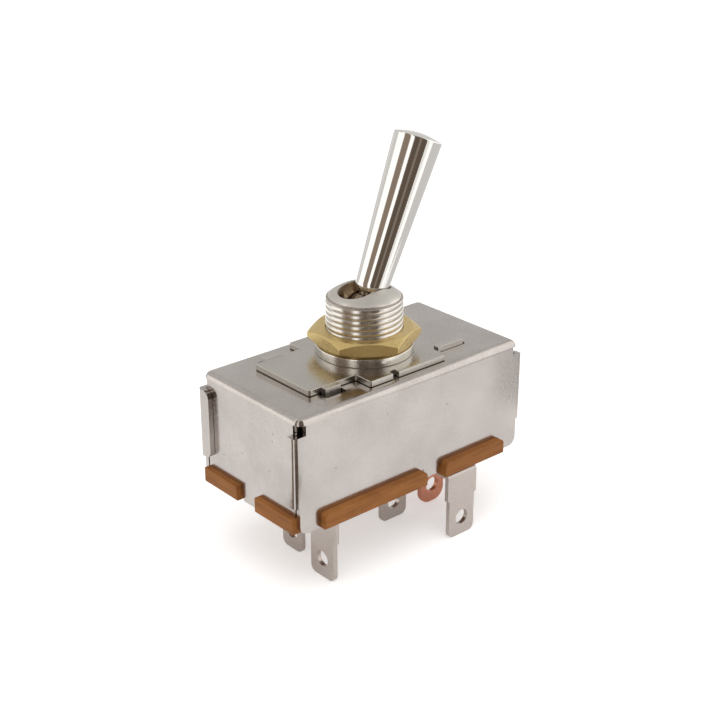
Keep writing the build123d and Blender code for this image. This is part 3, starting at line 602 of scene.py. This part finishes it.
def lever_skin():
    """The lever's outline turned about its own axis, then leaned about the pivot to its stop."""
    tail = [
        (TAIL_BALL_R * math.cos(t), TAIL_BALL_R * math.sin(t) - TAIL_REACH)
        for t in np.linspace(-math.pi / 2, math.acos(TAIL_R / TAIL_BALL_R), 18)
    ]
    meet_tail = -math.acos(TAIL_R / BALL_R)
    meet_neck = math.acos(NECK_R / BALL_R)
    ball = [(BALL_R * math.cos(t), BALL_R * math.sin(t)) for t in np.linspace(meet_tail, meet_neck, 40)]
    along = np.concatenate([
        np.linspace(2.4, HANDLE_FROM, 16),
        np.linspace(HANDLE_FROM + 0.5, TIP_AT - 0.5, 40),
    ])
    handle = list(zip(handle_radius(along), along))
    crown_r = (TIP_R ** 2 + CROWN ** 2) / (2 * CROWN)
    top = TIP_AT + CROWN - crown_r
    brow = TIP_R - 0.42
    corner = [
        handle[-1],
        (TIP_R + 0.01, TIP_AT + 0.02),
        (brow, top + math.sqrt(crown_r ** 2 - brow ** 2)),
    ]
    rim = soft_profile(corner, 0.55, steps=9)
    dome = [(r, top + math.sqrt(crown_r ** 2 - r ** 2)) for r in np.linspace(brow, 0, 14)[1:]]
    outline = np.concatenate([tail, ball, handle[:-1], rim, dome])
    angle = np.linspace(0, 2 * math.pi, 160, endpoint=False)
    r = outline[:, :1]
    z = outline[:, 1:] * np.ones_like(angle)
    x = r * np.cos(angle)
    y = r * np.sin(angle)
    lean_x = x * math.cos(LEAN) + z * math.sin(LEAN)
    lean_z = z * math.cos(LEAN) - x * math.sin(LEAN)
    return np.stack([lean_x, y, lean_z + PIVOT_Z], axis=-1)


lever_mesh = skin("lever_turned", lever_skin())
weld_poles(lever_mesh)
lever_mesh.shade_smooth()
finish_piece("lever_turned", lever_mesh, "toggle_lever", NICKEL_LEVER, body="lever")


# Sheet metal, board and nut: the solids' own shapes with broken edges

polished_copy("case_folded", "cover", PLATED_CASE, edge=0.10)
polished_copy("board_cut", "base_board", PHENOLIC, edge=0.26)
polished_copy("plate_stamped", "mounting_plate", PLATED_STAMPING, edge=0.16)
polished_copy("nut_cut", "hex_nut", BRASS, edge=0.10, fold=14)
polished_copy("frame_folded", "inner_frame", FRAME_STEEL, edge=0.12)
BLADES = ("front_left", "front_right", "centre_left", "centre", "centre_right")
for place in BLADES:
    blade = COPPER if place == "centre_right" else BLADE_STEEL
    polished_copy(f"{place}_blade", f"{place}_terminal", blade, edge=0.09)

# Each coil spring is a polished copy with its own mesh, attached to the carriage
SPRINGS = [(row, side) for row in ("front", "centre") for side in ("left", "right")]
for row, side in SPRINGS:
    coil = polished_copy(
        f"{row}_coil_{side}", f"{row}_spring_{side}", INNER_STEEL, body="carriage", fold=60,
    )
    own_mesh(coil)

# Every node's own solid carries its finish too; inner pieces and rivets show nothing else
OWN_FINISH = {
    "cover": PLATED_CASE,
    "base_board": PHENOLIC,
    "mounting_plate": PLATED_STAMPING,
    "bushing": NICKEL_THREAD,
    "hex_nut": BRASS,
    "toggle_lever": NICKEL_LEVER,
    "pivot_pin": INNER_STEEL,
    "lever_retainer": INNER_STEEL,
    "inner_frame": FRAME_STEEL,
    "detent_spring": INNER_STEEL,
    "detent_rivet": INNER_STEEL,
    "contact_carriage": MOULDED,
    "front_contact_bar": COPPER,
    "centre_contact_bar": COPPER,
}
for row, side in SPRINGS:
    OWN_FINISH[f"{row}_spring_{side}"] = INNER_STEEL
for place in BLADES:
    OWN_FINISH[f"{place}_contact"] = BLADE_STEEL
    OWN_FINISH[f"{place}_terminal"] = COPPER if place == "centre_right" else BLADE_STEEL
for node, finish in OWN_FINISH.items():
    nodes[node].data.materials.clear()
    nodes[node].data.materials.append(finish)


# Stage: floor, panels seen only in gloss, lamp and world

def stage_sheet(name, corners, finish):
    """A flat or bent sheet of the stage from rows of points in millimetres."""
    points = np.asarray(corners, float)
    rows, columns = points.shape[:2]
    index = np.arange(rows * columns).reshape(rows, columns)
    quads = np.stack([index[:-1, :-1], index[:-1, 1:], index[1:, 1:], index[1:, :-1]], axis=-1)
    quads = quads.reshape(-1, 4)
    mesh = bpy.data.meshes.new(name)
    mesh.from_pydata((points.reshape(-1, 3) * MM).tolist(), [], quads.tolist())
    sheet = bpy.data.objects.new(name, mesh)
    bpy.context.scene.collection.objects.link(sheet)
    mesh.materials.append(finish)
    return sheet


def glow(name, colour, strength):
    """A plain glowing or dark panel."""
    finish = bpy.data.materials.new(name)
    finish.use_nodes = True
    tree = finish.node_tree
    tree.nodes.clear()
    light = tree.nodes.new("ShaderNodeEmission")
    light.inputs["Color"].default_value = (*colour, 1)
    light.inputs["Strength"].default_value = strength
    out = tree.nodes.new("ShaderNodeOutputMaterial")
    tree.links.new(light.outputs[0], out.inputs["Surface"])
    return finish


PANEL_RADIUS = 300.0
PANEL_FOOT = BLADE_TIPS + 0.6
FACING = 229.0
SPREAD = 0.4
SPREAD_AT = 58.0


def gloss_only(sheet):
    """Keeps a panel out of the picture and out of the plain light."""
    sheet.visible_camera = False
    sheet.visible_diffuse = False
    sheet.visible_shadow = False
    sheet.visible_transmission = False


def wall_panel(name, first, last, finish, high, low=PANEL_FOOT, spread=SPREAD):
    """A standing panel on a circle about the bushing, between two bearings in degrees. It spreads
    about the camera's bearing with the square of its elevation, as a leaning flank mirrors it."""
    bearing = np.linspace(first, last, 16)
    rows = []
    for z in np.linspace(low, high, 12):
        elevation = math.degrees(math.atan2(max(z, 0), PANEL_RADIUS))
        turned = np.radians(FACING + (bearing - FACING) * (1 + spread * (elevation / SPREAD_AT) ** 2))
        rows.append(np.column_stack([
            PANEL_RADIUS * np.cos(turned),
            PANEL_RADIUS * np.sin(turned),
            np.full(len(turned), z),
        ]))
    gloss_only(stage_sheet(name, rows, finish))


def floor_panel(name, first, last, finish, near, far):
    """A panel lying on the floor between two bearings and two distances from the bushing."""
    bearing = np.radians(np.linspace(first, last, 16))
    rows = [
        np.stack([r * np.cos(bearing), r * np.sin(bearing), np.full_like(bearing, PANEL_FOOT)], axis=-1)
        for r in (near, far)
    ]
    gloss_only(stage_sheet(name, rows, finish))


# Tones of the panels, from what the photograph's lever, thread, nut and bends mirror
BROWN = glow("brown_panel", (0.29, 0.225, 0.175), 1.0)
DARK = glow("dark_panel", (0.125, 0.095, 0.072), 1.0)
MIDDLE = glow("middle_panel", (0.25, 0.20, 0.165), 1.0)
PALE = glow("pale_panel", (0.70, 0.69, 0.68), 1.0)
LIGHT = glow("light_panel", (1.0, 0.98, 0.96), 1.0)
BRIGHT = glow("bright_panel", (1.0, 0.98, 0.95), 1.4)
CLAY = glow("clay_panel", (0.80, 0.66, 0.52), 1.0)
EARTH = glow("earth_panel", (0.42, 0.33, 0.25), 1.0)
BOX = glow("bend_box", (1.0, 0.99, 0.97), 1.35)
WALL_TOP = 700

# Standing panels: first and last bearing, tone, foot, top and spread
for label, first, last, finish, low, high, spread in (
    ("left_bright_wall", 146, 162, BRIGHT, PANEL_FOOT, WALL_TOP, SPREAD),
    ("left_low_bright_wall", 122, 146, BRIGHT, PANEL_FOOT, 125, SPREAD),
    ("left_high_pale_wall", 122, 146, PALE, 127, WALL_TOP, SPREAD),
    ("left_brown_wall", 164, 195, BROWN, PANEL_FOOT, WALL_TOP, SPREAD),
    ("upper_left_brown_wall", 194, 200, BROWN, 180, WALL_TOP, SPREAD),
    ("gap_bright_wall", 197, 212, BRIGHT, PANEL_FOOT, WALL_TOP, SPREAD),
    ("upper_right_dark_wall", 208, 214, DARK, 180, WALL_TOP, SPREAD),
    ("right_dark_wall", 214, 237, DARK, PANEL_FOOT, WALL_TOP, SPREAD),
    ("right_middle_wall", 237, 247, MIDDLE, PANEL_FOOT, WALL_TOP, SPREAD),
    ("right_far_dark_wall", 247, 271, DARK, PANEL_FOOT, WALL_TOP, SPREAD),
    ("right_light_wall", 274, 284, LIGHT, PANEL_FOOT, WALL_TOP, SPREAD),
    ("right_bright_wall", 284, 299, BRIGHT, PANEL_FOOT, WALL_TOP, SPREAD),
    ("front_bend_box", 303, 366, BOX, -10, 300, 0),
):
    wall_panel(label, first, last, finish, high, low, spread)

# Panels on the floor: first and last bearing, tone, nearest and farthest distance
for label, first, last, finish, near, far in (
    ("shoulder_left_floor", 164, 195, BROWN, 40, 78),
    ("shoulder_right_floor", 214, 269, DARK, 40, 78),
    ("nut_left_floor", 164, 195, EARTH, 78, 86),
    ("nut_right_floor", 214, 271, CLAY, 77, 87),
    ("thread_left_floor", 164, 202, BROWN, 86, 104),
    ("thread_right_floor", 206, 271, BROWN, 87, 104),
    ("left_brown_floor", 164, 195, BROWN, 104, 300),
    ("right_dark_floor", 214, 237, DARK, 104, 300),
    ("right_middle_floor", 237, 247, MIDDLE, 104, 300),
    ("right_far_dark_floor", 247, 271, DARK, 104, 300),
    ("right_light_floor", 274, 284, LIGHT, 110, 300),
    ("right_bright_floor", 284, 299, BRIGHT, 110, 300),
    ("right_pale_floor", 301, 320, PALE, 110, 300),
    ("far_right_pale_floor", 320, 376, PALE, 62, 300),
    ("far_left_pale_floor", 60, 112, PALE, 222, 700),
    ("back_edge_floor", 40, 112, BOX, 45, 220),
):
    floor_panel(label, first, last, finish, near, far)


def floor_finish():
    """Pale floor that keeps its shadows and looks white in the picture and in gloss."""
    finish = bpy.data.materials.new("pale_floor")
    finish.use_nodes = True
    tree = finish.node_tree
    tree.nodes.clear()
    paint = tree.nodes.new("ShaderNodeBsdfDiffuse")
    paint.inputs["Color"].default_value = (0.86, 0.86, 0.86, 1)
    rays = tree.nodes.new("ShaderNodeLightPath")
    in_gloss = tree.nodes.new("ShaderNodeMath")
    in_gloss.operation = "MULTIPLY"
    in_gloss.inputs[1].default_value = 0.26
    lift = tree.nodes.new("ShaderNodeMath")
    lift.operation = "MULTIPLY_ADD"
    lift.inputs[1].default_value = 0.42
    extra = tree.nodes.new("ShaderNodeEmission")
    both = tree.nodes.new("ShaderNodeAddShader")
    out = tree.nodes.new("ShaderNodeOutputMaterial")
    wire = tree.links.new
    wire(rays.outputs["Is Glossy Ray"], in_gloss.inputs[0])
    wire(rays.outputs["Is Camera Ray"], lift.inputs[0])
    wire(in_gloss.outputs[0], lift.inputs[2])
    wire(lift.outputs[0], extra.inputs["Strength"])
    wire(paint.outputs[0], both.inputs[0])
    wire(extra.outputs[0], both.inputs[1])
    wire(both.outputs[0], out.inputs["Surface"])
    return finish


FAR = 2500.0
FLOOR_Z = BLADE_TIPS - 0.02
floor_corners = [
    [(-FAR, -FAR, FLOOR_Z), (FAR, -FAR, FLOOR_Z)],
    [(-FAR, FAR, FLOOR_Z), (FAR, FAR, FLOOR_Z)],
]
stage_sheet("floor", floor_corners, floor_finish())


def soft_lamp(name, place, target, width, height, power):
    """A square-on soft box in millimetres, aimed at a point and not seen in gloss."""
    lamp = bpy.data.lights.new(name, "AREA")
    lamp.shape = "RECTANGLE"
    lamp.size = width * MM
    lamp.size_y = height * MM
    lamp.energy = power
    holder = bpy.data.objects.new(name, lamp)
    holder.visible_glossy = False
    bpy.context.scene.collection.objects.link(holder)
    place = Vector(place)
    aim = (Vector(target) - place).to_track_quat("-Z", "Y")
    holder.matrix_world = Matrix.Translation(place * MM) @ aim.to_matrix().to_4x4()


soft_lamp("top_soft_box", (-120, -160, 520), (0, 0, -10), 620, 620, 1.6)

world = bpy.data.worlds.new("studio")
bpy.context.scene.world = world
world.use_nodes = True
sky = world.node_tree
sky.nodes.clear()
sky_rays = sky.nodes.new("ShaderNodeLightPath")
sky_place = sky.nodes.new("ShaderNodeTexCoord")
sky_split = sky.nodes.new("ShaderNodeSeparateXYZ")
sky_fall = sky.nodes.new("ShaderNodeMapRange")
sky_fall.inputs["From Min"].default_value = 0.0
sky_fall.inputs["From Max"].default_value = 0.55
sky_fall.inputs["To Min"].default_value = 0.74
sky_fall.inputs["To Max"].default_value = 0.68
sky_soft = sky.nodes.new("ShaderNodeBackground")
sky_soft.inputs["Color"].default_value = (1.0, 0.99, 0.97, 1)
sky_white = sky.nodes.new("ShaderNodeBackground")
sky_white.inputs["Color"].default_value = (1, 1, 1, 1)
sky_mix = sky.nodes.new("ShaderNodeMixShader")
sky_out = sky.nodes.new("ShaderNodeOutputWorld")
sky.links.new(sky_place.outputs["Generated"], sky_split.inputs[0])
sky.links.new(sky_split.outputs["Z"], sky_fall.inputs["Value"])
sky.links.new(sky_fall.outputs["Result"], sky_soft.inputs["Strength"])
sky.links.new(sky_rays.outputs["Is Camera Ray"], sky_mix.inputs[0])
sky.links.new(sky_soft.outputs[0], sky_mix.inputs[1])
sky.links.new(sky_white.outputs[0], sky_mix.inputs[2])
sky.links.new(sky_mix.outputs[0], sky_out.inputs["Surface"])

# Camera at the photograph's place, solved from the edges of the case
CAMERA_PLACE = Vector((-131.50, -150.29, 85.16))
BEARING = math.radians(49.004)
DOWN = math.radians(23.898)
SENSOR = 36.0
FOCAL_PIXELS = 1420.475
PICTURE_PIXELS = 720
camera_data = bpy.data.cameras.new("photo_view")
camera_data.sensor_width = SENSOR
camera_data.lens = SENSOR * FOCAL_PIXELS / PICTURE_PIXELS
camera_data.clip_start = 0.01
camera = bpy.data.objects.new("photo_view", camera_data)
bpy.context.scene.collection.objects.link(camera)
ahead = Vector((
    math.cos(BEARING) * math.cos(DOWN),
    math.sin(BEARING) * math.cos(DOWN),
    -math.sin(DOWN),
))
turn = ahead.to_track_quat("-Z", "Y").to_matrix().to_4x4()
camera.matrix_world = Matrix.Translation(CAMERA_PLACE * MM) @ turn
bpy.context.scene.camera = camera
bpy.context.scene.view_settings.view_transform = "Standard"
